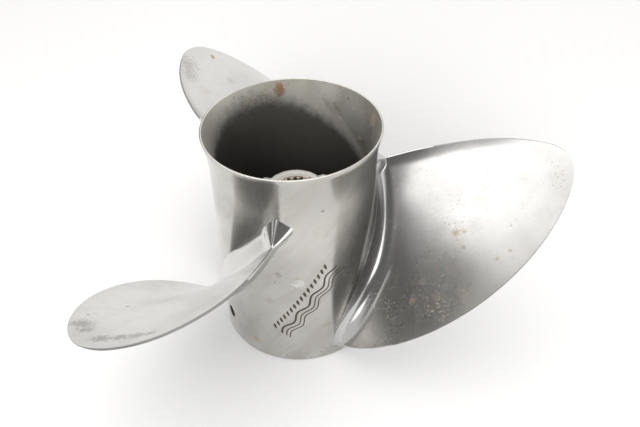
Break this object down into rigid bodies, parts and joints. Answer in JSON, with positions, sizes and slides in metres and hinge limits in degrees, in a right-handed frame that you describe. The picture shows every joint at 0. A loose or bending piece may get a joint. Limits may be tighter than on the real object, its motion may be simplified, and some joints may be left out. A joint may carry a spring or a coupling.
{
  "type": "boat propeller",
  "caption": "Right-hand stainless outboard boat propeller with raked blades on a through-exhaust barrel and a splined rubber-bushed hub.",
  "frame": {"origin": "on the shaft axis, in the plane of the barrel's front end face", "axes": "+Z along the shaft axis, pointing aft; +X to the side, between two blades' roots"},
  "size_m": [0.29, 0.2969, 0.1545],
  "materials": {
    "barrel": "worn polished stainless with tea staining",
    "blades": "worn polished stainless with tea staining",
    "inner_hub": "cast stainless, stained by exhaust",
    "ribs": "cast stainless, stained by exhaust",
    "rubber_bush": "matt moulded rubber",
    "drive_sleeve": "machined stainless, lightly rusted"
  },
  "bodies": {
    "propeller": {"barrel": "barrel", "blade_1": "blades", "blade_2": "blades", "blade_3": "blades", "inner_hub": "inner_hub", "rib_1": "ribs", "rib_2": "ribs", "rib_3": "ribs", "rubber_bush": "rubber_bush"},
    "drive_sleeve": {"drive_sleeve": "drive_sleeve"}
  },
  "joints": [
    {"name": "sleeve_twist", "type": "hinge", "parent": "propeller", "child": "drive_sleeve", "pos_m": [0, 0, 0.058], "axis": [0, 0, 1], "range_deg": [-10, 10], "stiffness_Nm_per_rad": 400}
  ]
}
